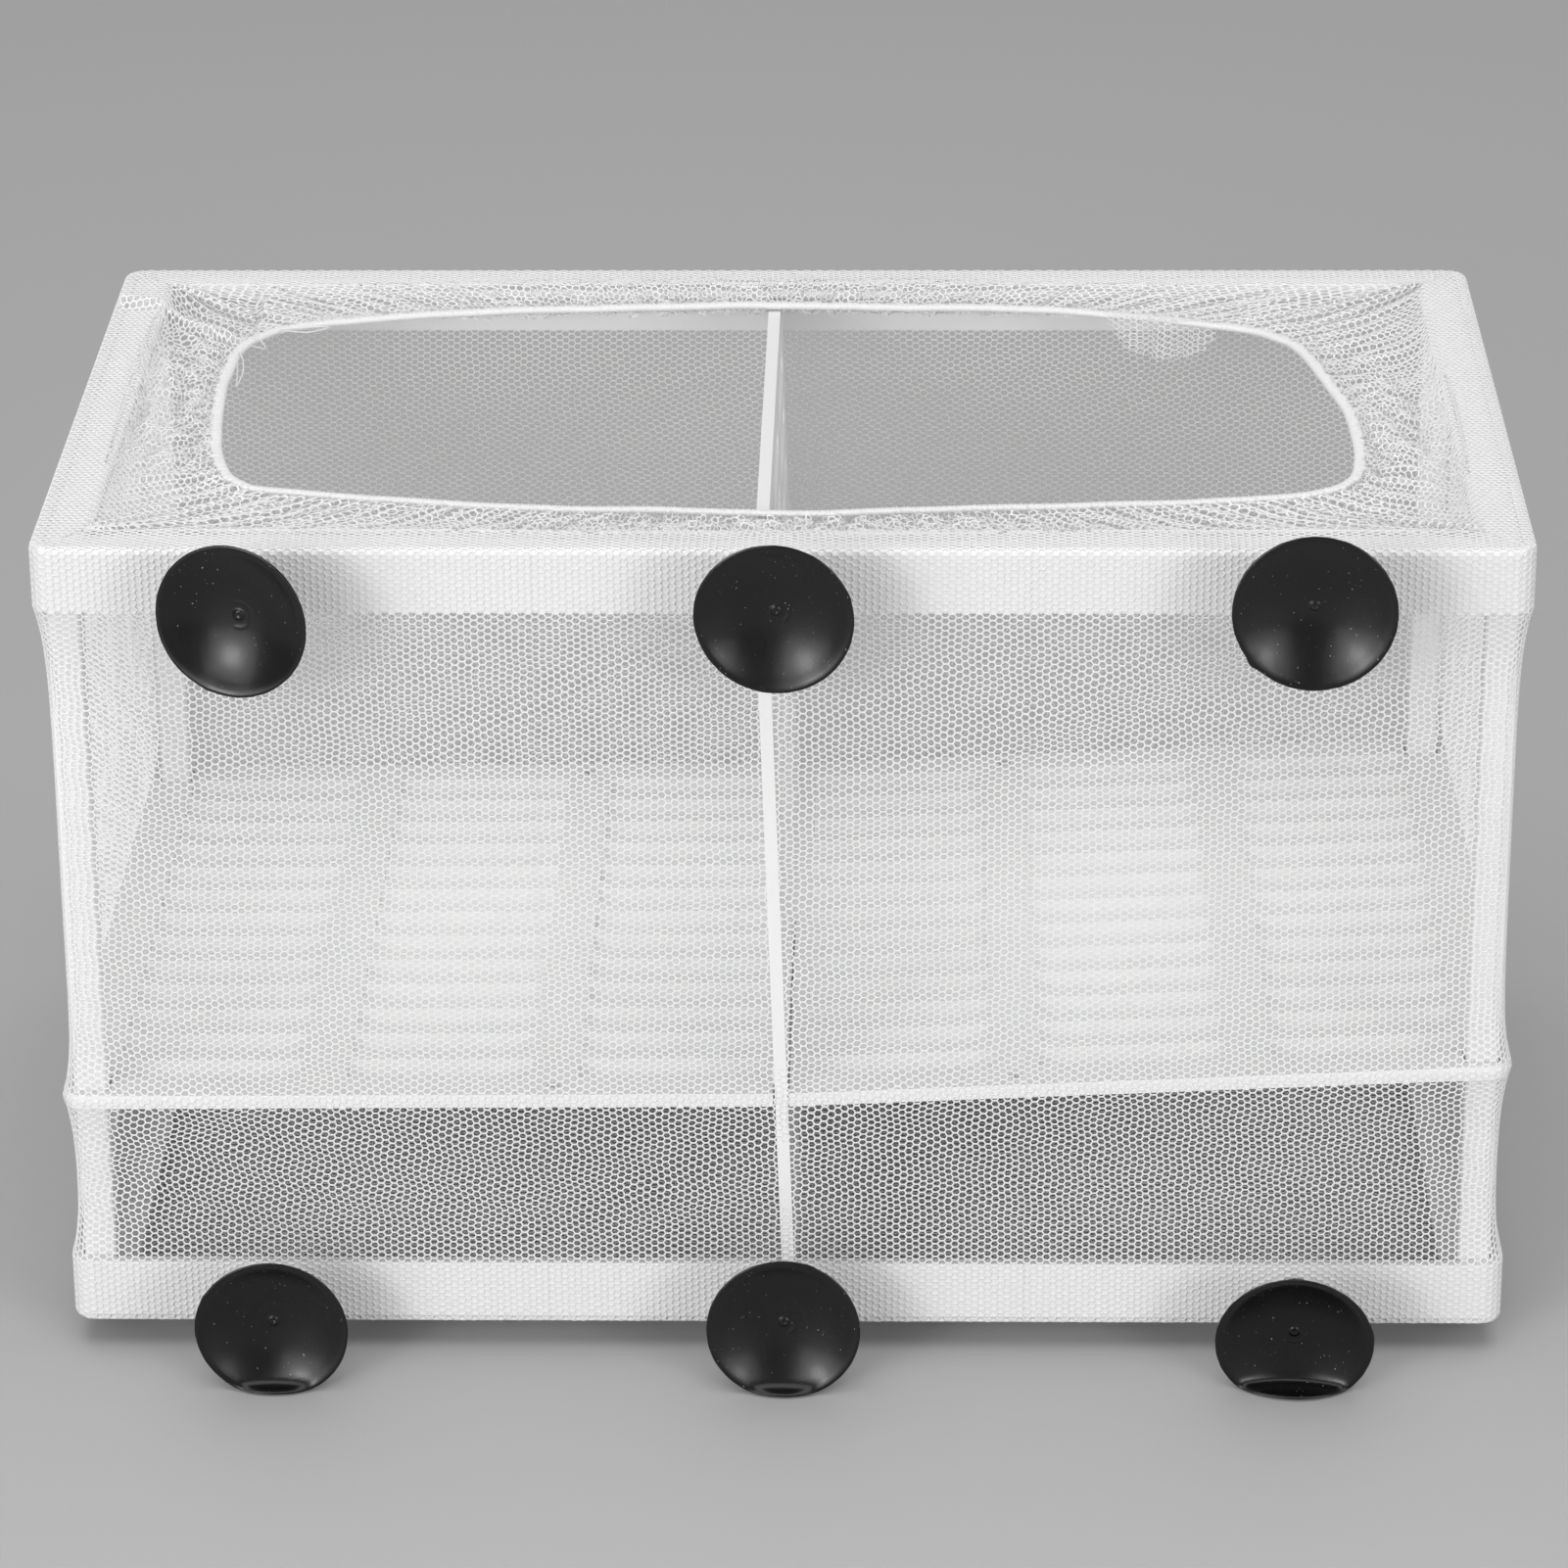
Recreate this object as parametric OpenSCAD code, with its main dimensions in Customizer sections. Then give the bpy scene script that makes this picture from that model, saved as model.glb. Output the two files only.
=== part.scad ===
// Fish breeding box: two L-section rings on four posts carry a slotted floor
// board and a slotted divider inside a bag of fine net. The bag's top band is
// drawn in by an elastic hem, and six rubber suction cups plug into the rings.
// X runs along the width, Y towards the back, Z up. The origin is the centre
// of the bag's underside. Lengths are in millimetres and angles in degrees.

/* [Frame rings] */
// Outer width of both rings
frame_w = 263.8; // [230:0.2:320]
// Outer depth of both rings
frame_d = 149.4; // [130:0.2:200]
// Height from the underside of the lower ring to the top of the upper ring
frame_h = 152.9; // [130:0.1:200]
// Height of each ring's outer wall
ring_h = 11.8; // [11.4:0.1:15]
// Thickness of each ring's outer wall
ring_wall = 2; // [1.6:0.1:2.6]
// Width of the flange, from the ring's outer face inwards
flange_w = 9.8; // [9.4:0.1:13]
// Thickness of the flange
flange_t = 1.4; // [1:0.1:1.6]
// Height that the outer wall stands past the flange
lip_h = 1; // [0.5:0.1:1.2]
// Plan radius of the rings' outer corners
corner_r = 4; // [3:0.5:7]
// Radius of the rings' long outer edges
edge_r = 0.9; // [0.3:0.1:1.5]

/* [Corner posts] */
// Side of the square post
post_w = 6; // [5:0.1:6.4]
// Radius of the post's upright edges
post_r = 0.8; // [0.3:0.1:1.5]
// Diameter of the peg that the ring stands into each end of a post
peg_d = 3; // [2:0.1:4]
// Length of the peg
peg_l = 6; // [4:0.5:10]

/* [Floor board] */
// Thickness of the floor board
floor_t = 2.6; // [2:0.1:4]
// Height of the floor board's top face at mid width
floor_z = 47.3; // [40:0.5:90]
// Rise of the board's right half, which the taut bag bows upwards
right_rise = 2.6; // [0:0.1:3]
// Fall of the board's left half
left_fall = 0.4; // [0:0.1:2]
// Diameter of the small drain holes near the long edges
drain_d = 2.6; // [1.5:0.1:4]
// Distance of the drain holes from the board's long edges
drain_inset = 4; // [3.5:0.1:4.5]

/* [Divider board] */
// Thickness of the divider
divider_t = 2.3; // [1.8:0.1:3.5]
// Offset of the divider from mid width, at the floor board
divider_x = -0.6; // [-1:0.1:1]
// Lean of the divider to the left at its top
divider_lean = 1.7; // [0:0.1:2]

/* [Slots] */
// Slots side by side in each row, on the divider and on each half of the floor board
slot_columns = 3; // [2:1:4]
// Width of the plain bar between one slot and the next in its row
slot_bar = 8.7; // [5:0.1:12]
// Distance from one row of slots to the next
row_pitch = 10.6; // [9:0.1:14]
// Width of a slot at its mouth
slot_mouth = 7.2; // [4:0.1:8]
// Width of the slit at the bottom of a slot
slot_slit = 1.2; // [0.8:0.1:2]
// Plain margin kept between the rows of slots and a board's edge
row_margin = 4.4; // [4:0.1:8]
// Plain margin between mid width and the floor board's first slots
middle_margin = 3.9; // [3.7:0.1:8]
// Plain margin between the ends of the divider's slots and its ends
divider_margin = 10; // [6:0.5:20]

/* [Suction cups] */
// Diameter of the bell at its rim
cup_d = 28; // [22:0.5:32]
// Distance of the bell's rim from the ring's outer face
cup_reach = 15.4; // [14:0.1:20]
// Distance of the outer cups from the ends of the frame
cup_inset = 38.2; // [25:0.1:52]
// Diameter of the neck that passes through the ring
neck_d = 4.2; // [3.5:0.1:4.6]
// Diameter of the knob behind the ring's wall
knob_d = 6.2; // [5.4:0.1:6.4]
// Thickness of the knob
knob_t = 2.4; // [1.8:0.1:3]
// Diameter of the collar in front of the net
collar_d = 7.4; // [6.6:0.1:9]
// Thickness of the bell at its rim
rim_t = 0.8; // [0.6:0.1:1.2]
// Depth of the bell's hollow
bell_depth = 4; // [3:0.1:7.4]
// Thickness of the bell at its middle
bell_back_t = 2.4; // [1.8:0.1:2.8]
// Diameter of the shank between collar and bell
shank_d = 5.8; // [5:0.1:6.4]
// Diameter of the moulding nub in the middle of the hollow
nub_d = 1.4; // [1:0.1:2]
// Height of the moulding nub
nub_h = 0.5; // [0.3:0.1:0.8]

/* [Net bag] */
// Thickness of the net
net_t = 0.4; // [0.3:0.05:0.8]
// Width of the top band at the left and right ends
end_band = 28; // [20:0.5:45]
// Mean width of the top band along the front and back
side_band = 20; // [19:0.1:26]
// Distance of the hand opening's middle behind mid depth
opening_back = 3.5; // [0:0.5:5]
// Corner radius of the hand opening
opening_r = 32; // [15:1:36]
// Openings across the net's front and back
net_columns = 12; // [6:1:12]
// Openings up the height of each net wall, between the rings
net_rows = 6; // [3:1:7]
// Width of the net left between one opening and the next
net_strip = 5; // [3:0.5:7]
// Side of the elastic hem's square section
hem_w = 2.2; // [1.6:0.1:3]

/* [Fits] */
// Radial running clearance of a neck in its hole and of a peg in its post
fit_gap = 0.05; // [0.02:0.01:0.09]
// Clearance between the net and what it covers
net_gap = 0.2; // [0.1:0.05:0.3]
// Clearance of loose pieces from what holds them
seat_gap = 0.3; // [0.2:0.05:0.4]

/* [Hidden] */
$fn = 48;

LEFT = -1;
RIGHT = 1;
FRONT = -1;
BACK = 1;
eps = 0.01;
far = 400;

white_plastic = [0.93, 0.93, 0.92];
white_board = [0.90, 0.90, 0.89];
white_net = [0.96, 0.96, 0.95];
white_elastic = [0.98, 0.98, 0.98];
black_rubber = [0.06, 0.06, 0.06];

// Heights of the frame, from the bag's underside up
frame_z = net_t + net_gap;
frame_top = frame_z + frame_h;
flange_z = frame_z + lip_h;
flange_face = flange_z + flange_t;
bag_w = frame_w + 2 * (net_gap + net_t);
bag_d = frame_d + 2 * (net_gap + net_t);
bag_h = frame_top + net_gap + net_t;
bag_r = corner_r + net_gap + net_t;
free_h = bag_h - 2 * ring_h;
opening_w = bag_w - 2 * end_band;
opening_d = bag_d - 2 * side_band;

// Centres of the posts, and the side of the eyes that clear them
post_x = frame_w / 2 - ring_wall - seat_gap - post_w / 2;
post_y = frame_d / 2 - ring_wall - seat_gap - post_w / 2;
eye_w = post_w + 2 * seat_gap;

// Half width and half depth of the boards, which reach almost to the net, and
// the wall that is left between a slot and a post's eye
board_x = frame_w / 2 + net_gap - seat_gap;
board_y = frame_d / 2 + net_gap - seat_gap;
eye_wall = 0.4;

// Cup centres: the mid height of each ring's front wall
cup_spacing = frame_w / 2 - cup_inset;
cup_z = ring_h / 2;
low_cup_z = frame_z + cup_z;
high_cup_z = frame_top - cup_z;
cup_face_y = -frame_d / 2;

// Places along a cup's axis, from the ring's outer face: the knob's front lies
// behind the wall, and the collar starts in front of the net
knob_front = ring_wall + seat_gap;
collar_start = net_gap + net_t + seat_gap;
collar_t = 1.8;
collar_end = collar_start + collar_t;
knob_taper = 1.6;
shank_sink = 0.6;

// How handling has left each bell: turned sideways, then tipped down
top_left_set = [-14, 2];
top_centre_set = [-4, 2];
top_right_set = [-4, 1];
bottom_left_set = [0, 0];
bottom_centre_set = [-1, -3];
bottom_right_set = [-3, 8];

// Radius of the sphere whose cap has this rim radius and this depth
function cap_r(rim_r, depth) = (rim_r * rim_r + depth * depth) / (2 * depth);

// Rectangle with round corners, centred on the origin
module round_rect(w, d, r) {
    square([w - 2 * r, d], center = true);
    square([w, d - 2 * r], center = true);
    for (sx = [-1, 1], sy = [-1, 1]) {
        translate([sx * (w / 2 - r), sy * (d / 2 - r)]) circle(r);
    }
}

// ---- Rings --------------------------------------------------------------

// The ring's outer block: round corners in plan and round lower edges
module ring_block() {
    intersection() {
        linear_extrude(ring_h) round_rect(frame_w, frame_d, corner_r);
        rotate([90, 0, 0]) linear_extrude(far, center = true) edge_profile(frame_w);
        rotate([90, 0, 90]) linear_extrude(far, center = true) edge_profile(frame_d);
    }
}

// Side view of the block, round at its two lower corners
module edge_profile(w) {
    translate([-w / 2 + edge_r, 0]) square([w - 2 * edge_r, ring_h]);
    translate([-w / 2, edge_r]) square([w, ring_h - edge_r]);
    for (s = [-1, 1]) {
        translate([s * (w / 2 - edge_r), edge_r]) circle(edge_r);
    }
}

// One ring as it stands at the bottom, its flange low and its pegs up
module ring() {
    inner_w = frame_w - 2 * ring_wall;
    inner_d = frame_d - 2 * ring_wall;
    inner_r = corner_r - ring_wall;
    difference() {
        ring_block();
        translate([0, 0, -eps]) linear_extrude(lip_h + eps) round_rect(inner_w, inner_d, inner_r);
        translate([0, 0, lip_h + flange_t]) linear_extrude(ring_h) round_rect(inner_w, inner_d, inner_r);
        linear_extrude(ring_h) square([frame_w - 2 * flange_w, frame_d - 2 * flange_w], center = true);
        for (x = [-cup_spacing, 0, cup_spacing]) {
            translate([x, cup_face_y - eps, cup_z]) rotate([-90, 0, 0])
                cylinder(h = ring_wall + 2 * eps, d = neck_d + 2 * fit_gap);
        }
    }
    for (sx = [LEFT, RIGHT], sy = [FRONT, BACK]) {
        translate([sx * post_x, sy * post_y, lip_h + flange_t - eps]) cylinder(h = peg_l + eps, d = peg_d);
    }
}

module bottom_ring() {
    color(white_plastic) translate([0, 0, frame_z]) ring();
}

module top_ring() {
    color(white_plastic) translate([0, 0, frame_top]) mirror([0, 0, 1]) ring();
}

// ---- Posts --------------------------------------------------------------

// A square post that stands on the lower flange and carries the upper one
module post(side, end) {
    length = frame_top - lip_h - flange_t - flange_face;
    bore_l = peg_l + seat_gap;
    bore_d = peg_d + 2 * fit_gap;
    color(white_plastic) translate([side * post_x, end * post_y, flange_face]) difference() {
        linear_extrude(length) round_rect(post_w, post_w, post_r);
        translate([0, 0, -eps]) cylinder(h = bore_l + eps, d = bore_d);
        translate([0, 0, length - bore_l]) cylinder(h = bore_l + eps, d = bore_d);
    }
}

// ---- Boards -------------------------------------------------------------

// V-shaped cutter for one slot, its slit at z = 0 and its mouth at z = depth
module slot_cutter(length, depth) {
    rotate([90, 0, 90]) linear_extrude(length, center = true) polygon([
        [-slot_slit / 2, -eps],
        [slot_slit / 2, -eps],
        [slot_mouth / 2, depth + eps],
        [-slot_mouth / 2, depth + eps]
    ]);
}

// Length of the slots whose rows fill this length
function slot_l(length) = (length - (slot_columns - 1) * slot_bar) / slot_columns;

// Slot cutters in rows of this length, as many rows as the width holds
module slot_grid(length, width, depth) {
    rows = floor((width - 2 * row_margin - slot_mouth) / row_pitch) + 1;
    pitch = slot_l(length) + slot_bar;
    for (i = [0 : slot_columns - 1], j = [0 : rows - 1]) {
        translate([(i - (slot_columns - 1) / 2) * pitch, (j - (rows - 1) / 2) * row_pitch, 0])
            slot_cutter(slot_l(length), depth);
    }
}

// The floor board's slab, bent at mid width: its right half rises and its left
// half falls
module floor_slab() {
    rise = far * tan(right_rise);
    fall = far * tan(left_fall);
    intersection() {
        linear_extrude(far, center = true) round_rect(2 * board_x, 2 * board_y, corner_r);
        rotate([90, 0, 0]) linear_extrude(far, center = true) polygon([
            [-far, -fall],
            [0, 0],
            [far, rise],
            [far, rise - floor_t],
            [0, -floor_t],
            [-far, -fall - floor_t]
        ]);
    }
}

// What one half of the slab lacks: its slots, an eye around each post and a drain
// hole near each long edge
module floor_cuts(side, angle) {
    eye_x = post_x / cos(angle);
    row_l = post_x - eye_w / 2 - eye_wall - middle_margin;
    drain_x = middle_margin + slot_l(row_l) + slot_bar / 2;
    rotate([0, -side * angle, 0]) {
        translate([side * (middle_margin + row_l / 2), 0, -floor_t]) slot_grid(row_l, 2 * board_y, floor_t);
        for (end = [FRONT, BACK]) {
            translate([side * eye_x, end * post_y, -floor_t - eps]) linear_extrude(floor_t + 2 * eps)
                round_rect(eye_w, eye_w, post_r + seat_gap);
            translate([side * drain_x, end * (board_y - drain_inset), -floor_t - eps])
                cylinder(h = floor_t + 2 * eps, d = drain_d);
        }
    }
}

module floor_board() {
    gap_w = divider_t / cos(divider_lean) + floor_t * tan(divider_lean) + 2 * seat_gap;
    color(white_board) translate([0, 0, floor_z]) difference() {
        floor_slab();
        floor_cuts(RIGHT, right_rise);
        floor_cuts(LEFT, -left_fall);
        // The front half is open for the divider
        translate([divider_x - gap_w / 2, -far, -far / 2]) cube([gap_w, far, far]);
    }
}

// The divider stands in the Y-Z plane before it leans. It is widest between the
// rings' walls, and narrower inside them, where it clears the cups' knobs.
module divider_board() {
    height = frame_top - lip_h - flange_t - flange_face - 2 * seat_gap;
    wide_from = ring_h - lip_h - flange_t;
    wide_h = height - 2 * wide_from;
    inside_y = frame_d / 2 - knob_front - knob_t - seat_gap;
    pivot_z = floor_z - flange_face - seat_gap;
    notch_h = floor_t + 2 * seat_gap;
    color(white_board) translate([divider_x, 0, floor_z]) rotate([0, -divider_lean, 0])
        translate([0, 0, -pivot_z]) difference() {
            union() {
                translate([-divider_t / 2, -inside_y, 0]) cube([divider_t, 2 * inside_y, height]);
                translate([-divider_t / 2, -board_y, wide_from]) cube([divider_t, 2 * board_y, wide_h]);
            }
            translate([-divider_t / 2, 0, height / 2]) rotate([0, 90, 0]) rotate([0, 0, 90])
                slot_grid(2 * (inside_y - divider_margin), height, divider_t);
            // The back half is open for the floor board
            translate([-far / 2, 0, pivot_z - floor_t - seat_gap]) cube([far, far, notch_h]);
        }
}

// ---- Suction cups -------------------------------------------------------

// A cup's bell, from its shank to its rim. Z runs outwards from the collar.
module bell() {
    rim_z = cup_reach - collar_end;
    back_depth = bell_depth + bell_back_t;
    hollow_r = cap_r(cup_d / 2 - rim_t, bell_depth);
    outer_r = cap_r(cup_d / 2, back_depth);
    nub_z = rim_z - bell_depth - eps;
    difference() {
        union() {
            translate([0, 0, -shank_sink]) cylinder(h = rim_z - bell_depth - bell_back_t / 2 + shank_sink, d = shank_d);
            intersection() {
                translate([0, 0, rim_z - back_depth + outer_r]) sphere(outer_r);
                cylinder(h = rim_z, r = cup_d);
            }
        }
        translate([0, 0, rim_z - bell_depth + hollow_r]) sphere(hollow_r);
    }
    translate([0, 0, nub_z - nub_h]) cylinder(h = 2 * nub_h, d = nub_d);
}

// One cup in its hole: the knob behind the ring's wall, the neck through the
// wall and the net, the collar in front, and the bell
module cup(x, z, bell_set) {
    color(black_rubber) translate([x, cup_face_y, z]) {
        rotate([90, 0, 0]) {
            translate([0, 0, -knob_front - knob_t]) cylinder(h = knob_t, d1 = knob_d - knob_taper, d2 = knob_d);
            translate([0, 0, -knob_front - eps]) cylinder(h = knob_front + collar_start + 2 * eps, d = neck_d);
            translate([0, 0, collar_start]) cylinder(h = collar_end - collar_start, d = collar_d);
        }
        translate([0, -collar_end, 0]) rotate([bell_set[1], 0, bell_set[0]]) rotate([90, 0, 0]) bell();
    }
}

// ---- Net bag ------------------------------------------------------------

// The four walls of the bag as one tube
module net_tube() {
    translate([0, 0, net_t]) linear_extrude(bag_h - 2 * net_t) difference() {
        round_rect(bag_w, bag_d, bag_r);
        round_rect(bag_w - 2 * net_t, bag_d - 2 * net_t, bag_r - net_t);
    }
}

// Cutters for a plain grid of openings over this length and height, in the X-Z plane
module net_openings(length, height) {
    columns = round(net_columns * length / bag_w);
    rows = round(net_rows * height / free_h);
    column_step = length / columns;
    row_step = height / rows;
    for (i = [0 : columns - 1], j = [0 : rows - 1]) {
        translate([(i - (columns - 1) / 2) * column_step, 0, (j - (rows - 1) / 2) * row_step])
            cube([column_step - net_strip, 4 * net_t, row_step - net_strip], center = true);
    }
}

// The block that holds one long wall as far as the corner seams
module long_side(end) {
    seam_x = bag_w / 2 - bag_r;
    seam_y = bag_d / 2 - bag_r;
    linear_extrude(far) polygon([
        [-seam_x, end * seam_y],
        [seam_x, end * seam_y],
        [seam_x + far, end * (seam_y + far)],
        [-seam_x - far, end * (seam_y + far)]
    ]);
}

module net_long_wall(end) {
    intersection() {
        net_tube();
        long_side(end);
    }
}

module net_short_wall(side) {
    difference() {
        intersection() {
            net_tube();
            translate([side > 0 ? 0 : -far, -far / 2, 0]) cube([far, far, far]);
        }
        long_side(FRONT);
        long_side(BACK);
        translate([side * bag_w / 2, 0, bag_h / 2]) rotate([0, 0, 90])
            net_openings(bag_d - 2 * bag_r, free_h);
    }
}

module net_front() {
    color(white_net) difference() {
        net_long_wall(FRONT);
        translate([0, -bag_d / 2, bag_h / 2]) net_openings(bag_w - 2 * bag_r, free_h);
        for (x = [-cup_spacing, 0, cup_spacing], z = [low_cup_z, high_cup_z]) {
            translate([x, cup_face_y, z]) rotate([90, 0, 0])
                cylinder(h = 2 * (net_gap + net_t), d = neck_d + 2 * seat_gap);
        }
    }
}

module net_back() {
    color(white_net) difference() {
        net_long_wall(BACK);
        translate([0, bag_d / 2, bag_h / 2]) net_openings(bag_w - 2 * bag_r, free_h);
    }
}

module net_left() {
    color(white_net) net_short_wall(LEFT);
}

module net_right() {
    color(white_net) net_short_wall(RIGHT);
}

module net_floor() {
    color(white_net) difference() {
        linear_extrude(net_t) round_rect(bag_w, bag_d, bag_r);
        rotate([90, 0, 0]) net_openings(bag_w - 2 * flange_w, bag_d - 2 * flange_w);
    }
}

module net_top() {
    color(white_net) translate([0, 0, bag_h - net_t]) linear_extrude(net_t) difference() {
        round_rect(bag_w, bag_d, bag_r);
        translate([0, opening_back]) round_rect(opening_w, opening_d, opening_r);
    }
}

// The elastic lies just under the edge of the top band
module elastic_hem() {
    hem_z = bag_h - net_t - seat_gap - hem_w;
    color(white_elastic) translate([0, opening_back, hem_z]) linear_extrude(hem_w) difference() {
        round_rect(opening_w + 2 * hem_w, opening_d + 2 * hem_w, opening_r + hem_w);
        round_rect(opening_w, opening_d, opening_r);
    }
}

top_ring();
bottom_ring();
post(LEFT, FRONT);  // post_front_left
post(RIGHT, FRONT);  // post_front_right
post(LEFT, BACK);  // post_back_left
post(RIGHT, BACK);  // post_back_right
floor_board();
divider_board();
cup(-cup_spacing, high_cup_z, top_left_set);  // cup_top_left
cup(0, high_cup_z, top_centre_set);  // cup_top_centre
cup(cup_spacing, high_cup_z, top_right_set);  // cup_top_right
cup(-cup_spacing, low_cup_z, bottom_left_set);  // cup_bottom_left
cup(0, low_cup_z, bottom_centre_set);  // cup_bottom_centre
cup(cup_spacing, low_cup_z, bottom_right_set);  // cup_bottom_right
net_front();
net_back();
net_left();
net_right();
net_floor();
net_top();
elastic_hem();
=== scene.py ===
import math

import bpy
import numpy as np
from mathutils import Matrix, Vector


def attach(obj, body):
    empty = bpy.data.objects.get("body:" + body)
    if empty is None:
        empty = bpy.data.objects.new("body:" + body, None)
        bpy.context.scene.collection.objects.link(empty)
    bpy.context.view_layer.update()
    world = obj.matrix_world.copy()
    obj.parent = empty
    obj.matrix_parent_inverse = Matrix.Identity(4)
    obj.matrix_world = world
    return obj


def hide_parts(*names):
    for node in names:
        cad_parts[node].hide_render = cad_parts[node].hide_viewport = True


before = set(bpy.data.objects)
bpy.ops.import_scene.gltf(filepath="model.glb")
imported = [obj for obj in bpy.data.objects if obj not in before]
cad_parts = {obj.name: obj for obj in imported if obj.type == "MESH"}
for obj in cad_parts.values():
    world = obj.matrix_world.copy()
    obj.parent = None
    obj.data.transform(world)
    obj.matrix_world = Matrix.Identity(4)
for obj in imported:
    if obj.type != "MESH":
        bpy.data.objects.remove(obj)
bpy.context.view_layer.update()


# ---- Camera ----------------------------------------------------------------
# A long lens looks down at the front of the box from just right of its middle.
# It is turned a little to the left and rolled by a fraction of a degree.
CAMERA_AT = (0.02038, -1.03915, 0.53779)
YAW, PITCH, ROLL = 0.0208, 0.4183, -0.0069
camera_data = bpy.data.cameras.new("camera")
camera_data.sensor_width = 36
camera_data.lens = 136.56
camera = bpy.data.objects.new("camera", camera_data)


def aim(yaw, pitch, roll):
    """The camera's axes as a matrix, from its heading, its downward tilt and its roll."""
    ahead = Vector((-math.sin(yaw) * math.cos(pitch), math.cos(yaw) * math.cos(pitch), -math.sin(pitch)))
    right = Vector((math.cos(yaw), math.sin(yaw), 0))
    up = right.cross(ahead)
    turned_right = math.cos(roll) * right + math.sin(roll) * up
    turned_up = -math.sin(roll) * right + math.cos(roll) * up
    return Matrix((turned_right, turned_up, -ahead)).transposed().to_4x4()


camera.matrix_world = Matrix.Translation(CAMERA_AT) @ aim(YAW, PITCH, ROLL)
bpy.context.scene.collection.objects.link(camera)
bpy.context.scene.camera = camera
bpy.context.scene.view_settings.view_transform = "Standard"


# ---- Rings and posts -------------------------------------------------------
# Two rings of L section and four square posts, moulded in white plastic. The
# posts stand on the flanges and the net bag holds the frame together.
class Value:
    """One socket of a finish, so that its patterns read as plain sums."""

    def __init__(self, finish, socket):
        self.finish = finish
        self.socket = socket

    def maths(self, operation, first, second):
        return self.finish.node("ShaderNodeMath", {"operation": operation}, {0: first, 1: second})

    def __add__(self, other):
        return self.maths("ADD", self, other)

    __radd__ = __add__

    def __mul__(self, other):
        return self.maths("MULTIPLY", self, other)

    __rmul__ = __mul__

    def __gt__(self, other):
        return self.maths("GREATER_THAN", self, other)


# The Mix node's colour sockets by number, since its kinds of sockets share their names
SHARE, FIRST_COLOUR, SECOND_COLOUR, MIXED_COLOUR = 0, 6, 7, 2


class Finish:
    """A material, with one method that adds any other node."""

    def __init__(self, name, constants):
        self.material = bpy.data.materials.new(name)
        self.material.use_nodes = True
        self.tree = self.material.node_tree
        self.shader = self.tree.nodes["Principled BSDF"]
        for socket, value in constants.items():
            self.shader.inputs[socket].default_value = value

    def node(self, kind, settings, inputs, out=0):
        made = self.tree.nodes.new(kind)
        for key, value in settings.items():
            setattr(made, key, value)
        for key, value in inputs.items():
            if isinstance(value, Value):
                self.tree.links.new(value.socket, made.inputs[key])
            else:
                made.inputs[key].default_value = value
        return Value(self, made.outputs[out])

    def place(self, *scale):
        """Places on the piece, in metres, times a scale along each axis."""
        here = self.node("ShaderNodeTexCoord", {}, {}, "Object")
        return self.node("ShaderNodeVectorMath", {"operation": "MULTIPLY"}, {0: here, 1: scale})

    def noise(self, scale, detail=2.0, stretch=(1, 1, 1)):
        """Cloudy pattern from 0 to 1, with this many clouds to the metre."""
        inputs = {"Vector": self.place(*stretch), "Scale": scale, "Detail": detail}
        return self.node("ShaderNodeTexNoise", {}, inputs, "Fac")

    def blend(self, share, first, second):
        """A colour between two, by a share."""
        inputs = {SHARE: share, FIRST_COLOUR: first, SECOND_COLOUR: second}
        return self.node("ShaderNodeMix", {"data_type": "RGBA"}, inputs, MIXED_COLOUR)

    def lets_light_through(self, share, colour):
        """Thin stuff that glows a little with the light behind it."""
        through = self.node("ShaderNodeBsdfTranslucent", {}, {"Color": colour})
        solid = Value(self, self.shader.outputs[0])
        mixed = self.node("ShaderNodeMixShader", {}, {0: share, 1: solid, 2: through})
        self.tree.links.new(mixed.socket, self.tree.nodes["Material Output"].inputs["Surface"])

    def feed(self, socket, value):
        self.tree.links.new(value.socket, self.shader.inputs[socket])

    def bump(self, height, distance, strength=1.0):
        inputs = {"Height": height, "Distance": distance, "Strength": strength}
        self.feed("Normal", self.node("ShaderNodeBump", {}, inputs, "Normal"))


def grey(level, warmth=0.0):
    """A near neutral colour of this level, a little warmer or cooler."""
    return (level * (1 + warmth), level, level * (1 - warmth), 1)


def moulded_white(name, low, high):
    """White plastic straight from the mould, with faint flow marks and grain."""
    glow = {"Subsurface Weight": 0.08, "Subsurface Scale": 0.002, "Subsurface Radius": (1, 0.9, 0.8)}
    made = Finish(name, {"IOR": 1.46, **glow})
    flow = made.noise(9, 2, (1, 1, 3))
    grain = made.noise(900, 1)
    made.feed("Base Color", made.blend(flow, grey(low, 0.002), grey(high)))
    made.feed("Roughness", 0.34 + 0.14 * flow + 0.05 * grain)
    made.bump(grain * 0.3 + flow, 0.00012, 0.5)
    return made


def dress(names, finish):
    """Gives these pieces of the frame a finish in place of their plain one."""
    for name in names:
        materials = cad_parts[name].data.materials
        materials.clear()
        materials.append(finish.material)


dress(["top_ring", "bottom_ring"], moulded_white("ring_white", 0.79, 0.82))
posts = ["post_front_left", "post_front_right", "post_back_left", "post_back_right"]
# The posts take a lighter copy of the rings' white plastic: painted light, for the light that reaches them
# through the net.
dress(posts, moulded_white("post_white_painted_lighter", 0.89, 0.92))


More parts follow.
